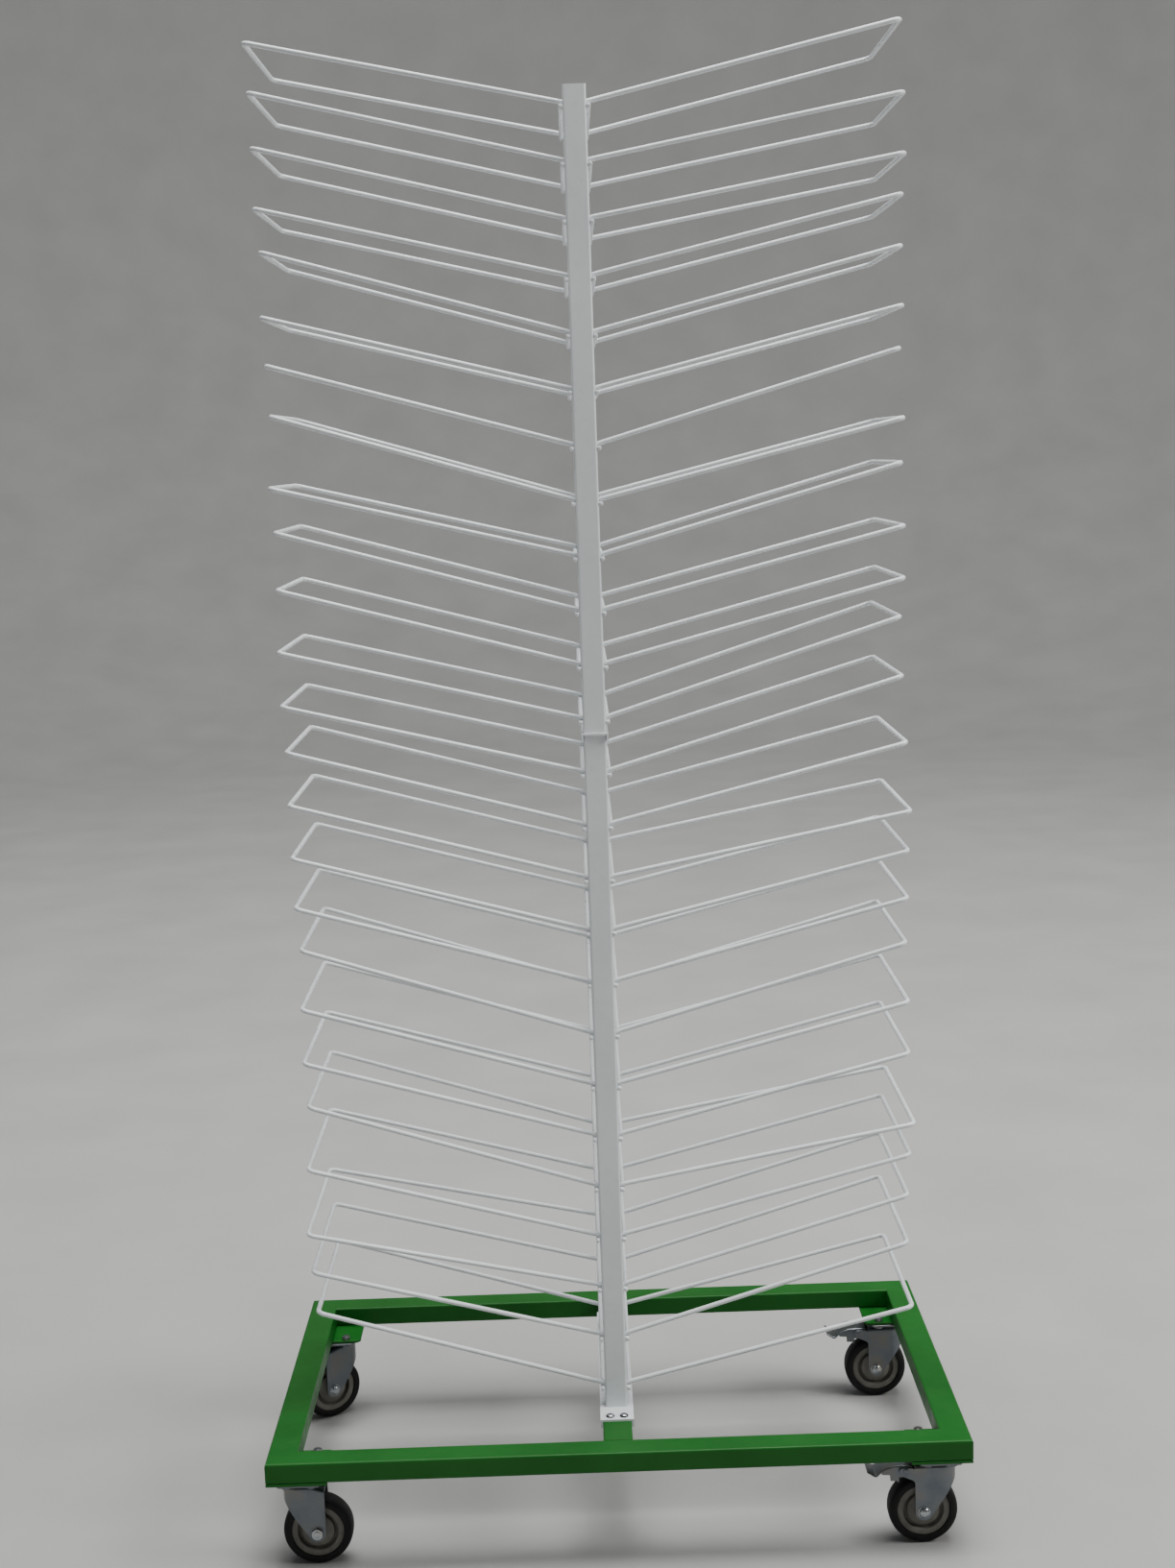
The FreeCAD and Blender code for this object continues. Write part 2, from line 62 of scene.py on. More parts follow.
def gather(parts):
    # several skins become one list of points and one list of faces
    points, faces, start = [], [], 0
    for somePoints, someFaces in parts:
        points.append(somePoints)
        faces += [[index + start for index in face] for face in someFaces]
        start += len(somePoints)
    return np.concatenate(points), faces


def closedMesh(name, points, faces, seenFrom=None):
    # seams and poles are merged, then faces are turned outwards; on a shell that is seen from within,
    # those that point away from the given place are turned back
    mesh = bpy.data.meshes.new(name)
    mesh.from_pydata(points.tolist(), [], faces)
    shape = bmesh.new()
    shape.from_mesh(mesh)
    bmesh.ops.remove_doubles(shape, verts=shape.verts, dist=mergeWithin)
    bmesh.ops.recalc_face_normals(shape, faces=shape.faces)
    if seenFrom is not None:
        away = [face for face in shape.faces
                if face.normal.dot(face.calc_center_median() - Vector(seenFrom)) > 0]
        bmesh.ops.reverse_faces(shape, faces=away)
    shape.to_mesh(mesh)
    shape.free()
    mesh.polygons.foreach_set("use_smooth", np.ones(len(mesh.polygons), bool))
    return mesh


def makePiece(name, parts, body, replaced, material, sharpAbove=40):
    # one mesh of all the skins, shaded smooth but for edges that turn more than sharpAbove degrees
    mesh = closedMesh(name, *gather(parts))
    mesh.set_sharp_from_angle(angle=math.radians(sharpAbove))
    mesh.materials.append(material)
    mesh.update()
    piece = bpy.data.objects.new(name, mesh)
    bpy.context.scene.collection.objects.link(piece)
    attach(piece, body)
    if replaced:
        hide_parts(*replaced)


def turnZ(points, degrees):
    # (x cos a - y sin a, x sin a + y cos a, z)
    cosine, sine = math.cos(math.radians(degrees)), math.sin(math.radians(degrees))
    x, y, z = points.T
    return np.stack([x * cosine - y * sine, x * sine + y * cosine, z], -1)


def shifted(part, offset):
    # the same skin moved by an offset
    return part[0] + np.asarray(offset, float), part[1]


def roundAxis(first, second, along, upright):
    # (first, along, second) round Y, or (first, second, along) round Z when upright
    return np.stack([first, second, along] if upright else [first, along, second], -1)


def spin(profile, steps=48, upright=False):
    # closed or pole-to-pole outline of (radius, along) turned by a:
    # first = radius cos a, second = radius sin a
    radius, along = np.asarray(profile, float).T
    angle = np.linspace(0, 2 * np.pi, steps, endpoint=False)
    first, second = np.outer(np.cos(angle), radius), np.outer(np.sin(angle), radius)
    return skin(roundAxis(first, second, np.tile(along, (steps, 1)), upright), closedAlong=True)


def hexagonNut(flat, heights, limits, upright=False, steps=72):
    # hexagon whose corners are turned off: radius = the lesser of the ring's limit
    # and flat / cos(angle from the middle of the side)
    angle = np.linspace(0, 2 * np.pi, steps, endpoint=False)
    side = flat / np.cos((angle + np.pi / 6) % (np.pi / 3) - np.pi / 6)
    radius = np.minimum(side[None, :], np.asarray(limits, float)[:, None])
    along = np.tile(np.asarray(heights, float)[:, None], (1, steps))
    return skin(roundAxis(radius * np.cos(angle), radius * np.sin(angle), along, upright))


def drawnBead(bead, halfLength, upright=False):
    # weld drawn out along its seam: radius = size * sqrt(1 - t^power), along = half length * t
    t = np.sin(np.linspace(-np.pi / 2, np.pi / 2, bead["stations"]))
    radius = bead["size"] * np.sqrt(1 - t ** bead["power"])
    return spin(np.stack([radius, halfLength * t], -1), bead["steps"], upright)


def startFinish(name, settings):
    # every finish is worked out from Object coordinates
    material = bpy.data.materials.new(name)
    material.use_nodes = True
    nodes, links = material.node_tree.nodes, material.node_tree.links
    shader = nodes["Principled BSDF"]
    shader.inputs["Metallic"].default_value = settings["metal"]
    shader.inputs["Specular IOR Level"].default_value = settings["sheen"]
    place = nodes.new("ShaderNodeTexCoord")
    return material, nodes, links, shader, place


def speckle(nodes, links, place, scale, detail, stretch=(1, 1, 1)):
    # cloudy noise from 0 to 1, squeezed by stretch along each axis
    mapping = nodes.new("ShaderNodeMapping")
    mapping.inputs["Scale"].default_value = stretch
    links.new(place.outputs["Object"], mapping.inputs["Vector"])
    noise = nodes.new("ShaderNodeTexNoise")
    noise.inputs["Scale"].default_value = scale
    noise.inputs["Detail"].default_value = detail
    links.new(mapping.outputs["Vector"], noise.inputs["Vector"])
    return noise.outputs["Fac"]


noiseSpan = (0.3, 0.7)  # nearly all of a noise lies between these


def ramp(nodes, links, source, positions, colours):
    # one colour at each position, blended evenly between them
    node = nodes.new("ShaderNodeValToRGB")
    stops = list(zip(positions, colours))
    for element, (position, colour) in zip(node.color_ramp.elements, (stops[0], stops[-1])):
        element.position = position
        element.color = (*colour, 1)
    for position, colour in stops[1:-1]:
        node.color_ramp.elements.new(position).color = (*colour, 1)
    links.new(source, node.inputs["Fac"])
    return node.outputs["Color"]


def level(nodes, links, source, low, high, span=noiseSpan):
    # low where the source is at the span's start, high at its end, in proportion between
    node = nodes.new("ShaderNodeMapRange")
    node.inputs["From Min"].default_value, node.inputs["From Max"].default_value = span
    node.inputs["To Min"].default_value, node.inputs["To Max"].default_value = low, high
    links.new(source, node.inputs["Value"])
    return node.outputs["Result"]


def blendColour(nodes, links, amount, first, second):
    # first * (1 - amount) + second * amount
    node = nodes.new("ShaderNodeMix")
    node.data_type = "RGBA"
    links.new(amount, node.inputs["Factor"])
    links.new(first, node.inputs["A"])
    node.inputs["B"].default_value = (*second, 1)
    return node.outputs["Result"]


def roughen(nodes, links, shader, source, settings):
    # roughness runs from roughLow to roughHigh with the source
    rough = level(nodes, links, source, settings["roughLow"], settings["roughHigh"])
    links.new(rough, shader.inputs["Roughness"])


def bumpUp(nodes, links, shader, height, strength, distance):
    # shading as if the surface stood out by height * distance
    node = nodes.new("ShaderNodeBump")
    node.inputs["Strength"].default_value = strength
    node.inputs["Distance"].default_value = distance
    links.new(height, node.inputs["Height"])
    links.new(node.outputs["Normal"], shader.inputs["Normal"])


def powderCoat(name, settings):
    # cured powder: faint cloudy colour, orange-peel bump, a few dusty or rubbed patches
    material, nodes, links, shader, place = startFinish(name, settings)
    cloud = speckle(nodes, links, place, settings["cloudScale"], detail=3)
    colour = ramp(nodes, links, cloud, noiseSpan, (settings["deep"], settings["light"]))
    dust = speckle(nodes, links, place, settings["dustScale"], detail=5)
    rubbed = level(nodes, links, dust, -settings["dustShare"], settings["dustShare"])
    colour = blendColour(nodes, links, rubbed, colour, settings["dust"])
    links.new(colour, shader.inputs["Base Color"])
    roughen(nodes, links, shader, dust, settings)
    peel = speckle(nodes, links, place, settings["peelScale"], detail=2)
    bumpUp(nodes, links, shader, peel, settings["peelStrength"], settings["peelDepth"])
    return material


def zincPlate(name, settings):
    # zinc: grey metal with a cloudy blue-to-straw cast and fine scuffs that lie level
    material, nodes, links, shader, place = startFinish(name, settings)
    cast = speckle(nodes, links, place, settings["castScale"], detail=4)
    shades = (settings["blue"], settings["grey"], settings["straw"])
    colour = ramp(nodes, links, cast, settings["castAt"], shades)
    links.new(colour, shader.inputs["Base Color"])
    scuff = speckle(nodes, links, place, settings["scuffScale"], detail=5, stretch=settings["scuffStretch"])
    roughen(nodes, links, shader, scuff, settings)
    bumpUp(nodes, links, shader, scuff, settings["scuffStrength"], settings["scuffDepth"])
    return material


def domeSteel(name, settings):
    # polished dome with painted shade round its foot, where it meets the channel: share of steel = (height -
    # foot) / (top of the shade - foot)
    material, nodes, links, shader, place = startFinish(name, settings)
    cast = speckle(nodes, links, place, settings["castScale"], detail=4)
    # painted shade colour for the dome's foot, faintly clouded
    shadeColour = ramp(nodes, links, cast, noiseSpan, (settings["footShadeDeep"], settings["footShadeLight"]))
    parts = nodes.new("ShaderNodeSeparateXYZ")
    links.new(place.outputs["Object"], parts.inputs["Vector"])
    share = level(nodes, links, parts.outputs["Z"], 0, 1, span=(settings["foot"], settings["shadeTop"]))
    colour = blendColour(nodes, links, share, shadeColour, settings["steel"])
    links.new(colour, shader.inputs["Base Color"])
    scuff = speckle(nodes, links, place, settings["scuffScale"], detail=5)
    roughen(nodes, links, shader, scuff, settings)
    bumpUp(nodes, links, shader, scuff, settings["scuffStrength"], settings["scuffDepth"])
    return material


def moulded(name, settings):
    # rubber or plastic from a mould: matt, faintly mottled, with floor dust in patches
    material, nodes, links, shader, place = startFinish(name, settings)
    mottle = speckle(nodes, links, place, settings["mottleScale"], detail=5)
    colour = ramp(nodes, links, mottle, settings["mottleAt"], (settings["deep"], settings["light"]))
    dust = speckle(nodes, links, place, settings["dustScale"], detail=6)
    dusty = level(nodes, links, dust, -settings["dustShare"], settings["dustShare"])
    colour = blendColour(nodes, links, dusty, colour, settings["dust"])
    links.new(colour, shader.inputs["Base Color"])
    roughen(nodes, links, shader, mottle, settings)
    bumpUp(nodes, links, shader, mottle, settings["grainStrength"], settings["grainDepth"])
    return material


def paleMatt(name, settings):
    # matt floor with faint clouds
    material, nodes, links, shader, place = startFinish(name, settings)
    grain = speckle(nodes, links, place, settings["grainScale"], detail=6)
    colour = ramp(nodes, links, grain, noiseSpan, (settings["deep"], settings["light"]))
    links.new(colour, shader.inputs["Base Color"])
    roughen(nodes, links, shader, grain, settings)
    return material


greenCoatLook = {"metal": 0.0, "sheen": 0.18, "deep": (0.006, 0.088, 0.009), "light": (0.010, 0.112, 0.014),
                 "cloudScale": 7, "dust": (0.030, 0.125, 0.034), "dustScale": 26, "dustShare": 0.10,
                 "roughLow": 0.32, "roughHigh": 0.48, "peelScale": 240, "peelStrength": 0.05,
                 "peelDepth": 0.0004}
whiteCoatLook = {"metal": 0.0, "sheen": 0.45, "deep": (0.68, 0.715, 0.74), "light": (0.77, 0.80, 0.82),
                 "cloudScale": 6, "dust": (0.52, 0.52, 0.50), "dustScale": 60, "dustShare": 0.12,
                 "roughLow": 0.26, "roughHigh": 0.42, "peelScale": 300, "peelStrength": 0.05,
                 "peelDepth": 0.0003}
zincLook = {"metal": 0.90, "sheen": 0.5, "blue": (0.125, 0.145, 0.165), "grey": (0.160, 0.172, 0.184),
            "straw": (0.185, 0.182, 0.166), "castAt": (0.3, 0.5, 0.72), "castScale": 30, "scuffScale": 130,
            "scuffStretch": (1, 1, 6), "roughLow": 0.30, "roughHigh": 0.48, "scuffStrength": 0.06,
            "scuffDepth": 0.0003}
boltLook = {"metal": 0.95, "sheen": 0.5, "blue": (0.34, 0.37, 0.40), "grey": (0.40, 0.42, 0.44),
            "straw": (0.43, 0.42, 0.38), "castAt": (0.3, 0.5, 0.72), "castScale": 60, "scuffScale": 260,
            "scuffStretch": (1, 1, 6), "roughLow": 0.16, "roughHigh": 0.30, "scuffStrength": 0.05,
            "scuffDepth": 0.0002}
# the two dark colours are painted shade at the dome's foot, up to the top of the shade; plain steel above
domeLook = {"metal": 0.95, "sheen": 0.5, "footShadeDeep": (0.010, 0.010, 0.012),
            "footShadeLight": (0.030, 0.030, 0.032), "steel": (0.50, 0.52, 0.55), "foot": 0.1772,
            "shadeTop": 0.1786, "castScale": 300, "scuffScale": 400, "roughLow": 0.14, "roughHigh": 0.26,
            "scuffStrength": 0.05, "scuffDepth": 0.0002}
tyreLook = {"metal": 0.0, "sheen": 0.25, "deep": (0.004, 0.004, 0.004), "light": (0.009, 0.009, 0.009),
            "mottleAt": (0.35, 0.65), "mottleScale": 120, "dust": (0.045, 0.043, 0.040), "dustScale": 40,
            "dustShare": 0.16, "roughLow": 0.50, "roughHigh": 0.72, "grainStrength": 0.08,
            "grainDepth": 0.0003}
hubLook = {"metal": 0.0, "sheen": 0.30, "deep": (0.125, 0.122, 0.105), "light": (0.165, 0.160, 0.140),
           "mottleAt": (0.35, 0.65), "mottleScale": 70, "dust": (0.07, 0.067, 0.06), "dustScale": 36,
           "dustShare": 0.25, "roughLow": 0.42, "roughHigh": 0.60, "grainStrength": 0.05,
           "grainDepth": 0.0002}
floorLook = {"metal": 0.0, "sheen": 0.2, "deep": (0.335, 0.335, 0.33), "light": (0.37, 0.37, 0.365),
             "grainScale": 3, "roughLow": 0.68, "roughHigh": 0.80}

greenCoat = powderCoat("greenCoat", greenCoatLook)
whiteCoat = powderCoat("whiteCoat", whiteCoatLook)
zinc = zincPlate("zinc", zincLook)
brightBolt = zincPlate("brightBolt", boltLook)
screwDome = domeSteel("screwDome", domeLook)
tyreRubber = moulded("tyreRubber", tyreLook)
hubPlastic = moulded("hubPlastic", hubLook)
paleFloor = paleMatt("paleFloor", floorLook)
print("finishes made")


shelfWire = {"reach": 0.437, "halfWidth": 0.148, "bend": 0.010, "bendSteps": 8, "radius": 0.0034, "sides": 14,
             "stub": 0.0106, "armShares": (0.33, 0.66), "aboveHinge": 0.0034, "hingeOut": 0.01525,
             "lowestHinge": 0.206, "pitch": 0.076, "levels": 25, "folding": 16,
             "leftLeans": [12, 13.5, 14, 13.5, 16, 14.5, 16, 17, 14, 16, 15.5, 14, 14,
                           15.5, 15.5, 15.5, 16, 18, 16.5, 16, 17.5, 15, 12, 14.5, 16.5],
             "rightLeans": [12.5, 10, 9.5, 12.5, 13.5, 13, 15.5, 13, 15, 13.5, 14, 17, 16,
                            13.5, 10.5, 13, 14, 15.5, 14, 14, 10, 14, 16, 16.5, 13.5]}


def hingeHeight(shelfLevel):
    # lowest hinge + pitch * levels below this one, counted from the top
    return shelfWire["lowestHinge"] + shelfWire["pitch"] * (shelfWire["levels"] - 1 - shelfLevel)


def bentWire(side, shelfLevel, lean):
    # round section carried along a U: arm, quarter-circle bend, cross bar, bend, arm;
    # then tipped up by its lean about the hinge line and set at its level
    w = shelfWire
    arc = np.linspace(0, np.pi / 2, w["bendSteps"])
    inner, half = w["reach"] - w["bend"], w["halfWidth"] - w["bend"]
    straight = [-w["stub"], *(inner * share for share in w["armShares"])]
    out = np.concatenate([straight, inner + w["bend"] * np.sin(arc)])
    across = np.concatenate([[-w["halfWidth"]] * len(straight), -half - w["bend"] * np.cos(arc)])
    out, across = np.concatenate([out, out[::-1]]), np.concatenate([across, -across[::-1]])
    aim = np.stack([np.gradient(out), np.gradient(across)], -1)
    aim /= np.linalg.norm(aim, axis=1, keepdims=True)
    sideways = np.stack([-aim[:, 1], aim[:, 0], np.zeros(len(out))], -1)
    a = np.linspace(0, 2 * np.pi, w["sides"], endpoint=False)
    centre = np.stack([out, across, np.full(len(out), w["aboveHinge"])], -1)
    rings = centre[:, None] + w["radius"] * (np.cos(a)[None, :, None] * sideways[:, None]
                                             + np.sin(a)[None, :, None] * np.array([0, 0, 1.0]))
    cosine, sine = math.cos(math.radians(lean)), math.sin(math.radians(lean))
    x, y, z = rings[..., 0], rings[..., 1], rings[..., 2]
    rings = np.stack([side * (w["hingeOut"] + x * cosine - z * sine), side * y,
                      hingeHeight(shelfLevel) + x * sine + z * cosine], -1)
    return skin(rings)


for sideName, side in (("left", -1), ("right", 1)):
    leans = shelfWire[sideName + "Leans"]
    for shelfLevel in range(shelfWire["folding"]):
        number = "%02d" % (shelfLevel + 1)
        node = sideName + "_shelf_" + number
        wire = bentWire(side, shelfLevel, leans[shelfLevel])
        makePiece(sideName + "ShelfWire" + number, [wire], node, [node], whiteCoat)
    lower = [bentWire(side, k, leans[k]) for k in range(shelfWire["folding"], shelfWire["levels"])]
    node = sideName + "_lower_shelves"
    makePiece(sideName + "LowerShelfWires", lower, "rack", [node], whiteCoat)
print("shelf wires bent")


restBar = {"out": 0.019, "halfLength": 0.158, "radius": 0.003, "sides": 14, "roundEnd": 0.0012, "endSteps": 4,
           "armToBar": 0.00645, "onUpperPosts": 12, "postOut": 0.148, "beadOut": 0.0171, "beadUp": 0.0019,
           "beadHalf": 0.0075, "bead": {"size": 0.0014, "power": 2, "stations": 9, "steps": 10}}


def barHeight(shelfLevel, lean):
    # straight under the arm: hinge + run * tan(lean) - (arm to bar - arm above hinge) / cos(lean)
    b, w = restBar, shelfWire
    angle = math.radians(lean)
    return (hingeHeight(shelfLevel) + (b["out"] - w["hingeOut"]) * math.tan(angle)
            - (b["armToBar"] - w["aboveHinge"]) / math.cos(angle))


def roundBar(side, height):
    # round bar along Y whose last millimetre rounds off as a quarter circle
    b = restBar
    t = np.linspace(0, np.pi / 2, b["endSteps"])
    along = b["halfLength"] - b["roundEnd"] * (1 - np.cos(t[::-1]))
    size = b["radius"] - b["roundEnd"] * (1 - np.sin(t[::-1]))
    along, size = np.concatenate([-along[::-1], along]), np.concatenate([size[::-1], size])
    a = np.linspace(0, 2 * np.pi, b["sides"], endpoint=False)
    rings = np.stack([side * b["out"] + np.outer(size, np.cos(a)), np.outer(along, np.ones(b["sides"])),
                      height + np.outer(size, np.sin(a))], -1)
    return skin(rings)


def weldBeads(side, height):
    # two drawn-out beads per post, over and under the bar
    b = restBar
    bead = drawnBead(b["bead"], b["beadHalf"])
    return [shifted(bead, (side * b["beadOut"], row * b["postOut"], height + up * b["beadUp"]))
            for row in (-1, 1) for up in (-1, 1)]


for post, shelfLevels in (("upper", range(restBar["onUpperPosts"])),
                          ("lower", range(restBar["onUpperPosts"], shelfWire["levels"]))):
    bars, beads = [], []
    for shelfLevel in shelfLevels:
        for side, leans in ((-1, shelfWire["leftLeans"]), (1, shelfWire["rightLeans"])):
            height = barHeight(shelfLevel, leans[shelfLevel])
            bars.append(roundBar(side, height))
            beads += weldBeads(side, height)
    makePiece(post + "RestBars", bars + beads, "rack", [post + "_rest_bars"], whiteCoat)
print("rest bars welded on")


# where each caster's swivel stands and how far it is turned about Z, in degrees
casters = {"front_left": (-0.455, -0.245, 0), "front_right": (0.455, -0.245, 180),
           "rear_left": (-0.455, 0.245, 210), "rear_right": (0.455, 0.245, 180)}
# outlines as radius and half width
wheel = {"trail": 0.020, "height": 0.050, "steps": 80,
         "tyre": [(0.0380, 0.0157), (0.0388, 0.0160), (0.0440, 0.0160), (0.0462, 0.0153), (0.0480, 0.0138),
                  (0.0492, 0.0112), (0.0498, 0.0070), (0.0500, 0.0)],
         "hub": [(0.00505, 0.0181), (0.0096, 0.0181), (0.0103, 0.0176), (0.0125, 0.0166), (0.0132, 0.0150),
                 (0.0140, 0.0148), (0.0222, 0.0122), (0.0231, 0.0116), (0.0235, 0.0104), (0.0237, 0.0062),
                 (0.0288, 0.0062), (0.0290, 0.0126), (0.0294, 0.0137), (0.0302, 0.0140), (0.0366, 0.0140),
                 (0.0376, 0.0137), (0.0380, 0.0128)]}


def mirrored(profile):
    # half outline (radius, half width) and its mirror image as one closed outline
    half = np.asarray(profile, float)
    back = half[::-1][1:] if half[-1, 1] == 0 else half[::-1]
    return np.concatenate([half, back * [1, -1]])


def atCorner(parts, corner):
    # each skin turned by the caster's angle about its swivel and set under its corner
    x, y, degrees = casters[corner]
    return [(turnZ(points, degrees) + np.array([x, y, 0]), faces) for points, faces in parts]


def cornerTag(corner):
    # front_left becomes FrontLeft
    return corner.title().replace("_", "")


axlePlace = np.array([wheel["trail"], 0, wheel["height"]])
for corner in casters:
    for what, finish, slotName in (("tyre", tyreRubber, "tyre_rubber"), ("hub", hubPlastic, "hub_plastic")):
        turned = shifted(spin(mirrored(wheel[what]), wheel["steps"]), axlePlace)
        makePiece(what + cornerTag(corner), atCorner([turned], corner), corner + "_wheel",
                  [corner + "_" + what], finish, sharpAbove=30)
print("wheels turned")


# crown and the turned ends of the axle as radius and distance along
fork = {"web": 0.120, "sheet": 0.003, "half": 0.0215, "nose": 0.028, "noseLow": 0.0985, "endRadius": 0.0125,
        "tailFrom": 0.012, "tailDrop": 0.0055, "bend": 0.0040, "innerBend": 0.0012, "flankFrom": 0.006,
        "endSteps": 25, "flankSteps": 9, "noseSteps": 19, "climbSteps": 9, "bendSteps": 6, "webSteps": 5,
        "crown": [(0.0062, 0.1122), (0.0100, 0.1136), (0.0150, 0.1172), (0.0172, 0.1196), (0.0186, 0.1212),
                  (0.0212, 0.1230), (0.0246, 0.1243), (0.0268, 0.1250), (0.0278, 0.1257), (0.0280, 0.1264),
                  (0.0277, 0.1270), (0.0268, 0.1271), (0.0062, 0.1271)],
        "domeHead": [(0, 0.0208), (0.0088, 0.0208), (0.0090, 0.0218), (0.0088, 0.0225), (0.0078, 0.0228),
                     (0.0074, 0.0238), (0.0066, 0.0251), (0.0052, 0.0261), (0.0034, 0.0267),
                     (0.0016, 0.02695), (0, 0.0270)],
        "nutFlat": 0.0076, "nutHeights": [-0.0208, -0.0214, -0.0222, -0.0252, -0.0260],
        "nutLimits": [0.0078, 0.0084, 0.0090, 0.0090, 0.0078],
        "threadEnd": [(0, -0.0240), (0.0046, -0.0240), (0.0050, -0.0262), (0.0047, -0.0264),
                      (0.0050, -0.0267), (0.0044, -0.0270), (0, -0.0270)],
        "shank": [(0, -0.0209), (0.0050, -0.0209), (0.0050, 0.0209), (0, 0.0209)]}
forkBack = wheel["trail"] + fork["endRadius"]


def forkLowerEdge(x):
    # side view: slanting nose edge down to where it touches the round end,
    # then axle height - sqrt(radius^2 - distance from the axle^2)
    radius, noseX = fork["endRadius"], -fork["nose"]
    gapX, gapZ = noseX - wheel["trail"], fork["noseLow"] - wheel["height"]
    angle = math.atan2(gapZ, gapX) + math.acos(radius / math.hypot(gapX, gapZ))
    touchX = wheel["trail"] + radius * math.cos(angle)
    touchZ = wheel["height"] + radius * math.sin(angle)
    slant = fork["noseLow"] + (x - noseX) * (touchZ - fork["noseLow"]) / (touchX - noseX)
    rounded = wheel["height"] - np.sqrt(np.clip(radius ** 2 - (x - wheel["trail"]) ** 2, 0, None))
    return np.where(x < touchX, slant, rounded)


def sheetFace(x, y, normalX, normalY, inset, bend, tailDrop):
    # one face of half the pressed sheet: up the flank, round the bend by the cosine and sine of the angle,
    # then straight across the web to the middle line; columns follow the outline seen from above
    x, y = x - normalX * inset, y - normalY * inset
    tailShare = np.clip((x - fork["tailFrom"]) / (forkBack - fork["tailFrom"]), 0, 1)
    top = fork["web"] - inset - tailDrop * tailShare
    low = forkLowerEdge(x)
    climb = np.linspace(0, 1, fork["climbSteps"])
    turn = np.linspace(0, np.pi / 2, fork["bendSteps"])[1:]
    reach = np.linspace(0, 1, fork["webSteps"])[1:]
    inward = np.concatenate([climb * 0, bend * (1 - np.cos(turn)), np.full(len(reach), bend)])
    bendX, bendY = x[:, None] - normalX[:, None] * inward, y[:, None] - normalY[:, None] * inward
    bendY[:, -len(reach):] *= 1 - reach
    upright = low[:, None] + climb * (top - bend - low)[:, None]
    rounded = (top - bend)[:, None] + bend * np.sin(turn)
    height = np.concatenate([upright, rounded, np.tile(top[:, None], (1, len(reach)))], 1)
    return np.stack([bendX, bendY, height], -1)


def pressedSheet(tailDrop):
    # outline from above: round end, straight flank, quarter-circle nose; outer and inner face with the rim
    # and the tail edge between them, on both sides of the middle line
    half = fork["half"]
    centre = half - fork["nose"]
    t = np.linspace(0, np.pi, fork["endSteps"])
    flank = np.concatenate([wheel["trail"] + fork["endRadius"] * np.cos(t),
                            np.linspace(fork["flankFrom"], centre, fork["flankSteps"])])
    arc = np.linspace(0, np.pi / 2, fork["noseSteps"])[1:]
    x = np.concatenate([flank, centre - half * np.sin(arc)])
    y = np.concatenate([np.full(len(flank), -half), -half * np.cos(arc)])
    normalX = np.concatenate([np.zeros(len(flank)), -np.sin(arc)])
    normalY = np.concatenate([-np.ones(len(flank)), -np.cos(arc)])
    outer = sheetFace(x, y, normalX, normalY, 0, fork["bend"], tailDrop)
    inner = sheetFace(x, y, normalX, normalY, fork["sheet"], fork["innerBend"], tailDrop)
    columns, rows = outer.shape[:2]
    grid = np.concatenate([outer, inner[:, ::-1]], 1)
    looped = np.delete(np.arange(2 * rows), rows - 1)
    i, j = np.meshgrid(np.arange(columns - 1), looped, indexing="ij")
    following = (j + 1) % (2 * rows)
    quads = np.stack([i * 2 * rows + j, (i + 1) * 2 * rows + j, (i + 1) * 2 * rows + following,
                      i * 2 * rows + following], -1).reshape(-1, 4)
    k = np.arange(rows - 1)
    tail = np.stack([k, k + 1, 2 * rows - 2 - k, 2 * rows - 1 - k], -1)
    faces = np.concatenate([quads, tail])
    points = grid.reshape(-1, 3)
    flipped = points * [1, -1, 1]
    return np.concatenate([points, flipped]), np.concatenate([faces, faces[:, ::-1] + len(points)]).tolist()


def trimmedPlate(outline, low, high, edge, lying=False):
    # flat outline of (x, z) between two y values, or of (x, y) between two heights when lying;
    # its outer edges are taken off by drawing the outline in
    leastLength = 0.3  # of the two sides' normals added up, where they nearly double back
    outline = np.asarray(outline, float)
    before, after = np.roll(outline, 1, 0) - outline, np.roll(outline, -1, 0) - outline
    before /= np.linalg.norm(before, axis=1, keepdims=True)
    after /= np.linalg.norm(after, axis=1, keepdims=True)
    turn = after[:, 0] * before[:, 1] - after[:, 1] * before[:, 0]
    inward = np.stack([-after[:, 1], after[:, 0]], -1) + np.stack([before[:, 1], -before[:, 0]], -1)
    inward /= np.clip(np.linalg.norm(inward, axis=1, keepdims=True), leastLength, None)
    inward *= edge * np.sign(np.sum(turn))
    rings = [(outline + inward, low), (outline, low + edge), (outline, high - edge), (outline + inward, high)]
    order = [0, 1, 2] if lying else [0, 2, 1]
    return skin(np.stack([np.column_stack([ring, np.full(len(ring), far)])[:, order] for ring, far in rings]))


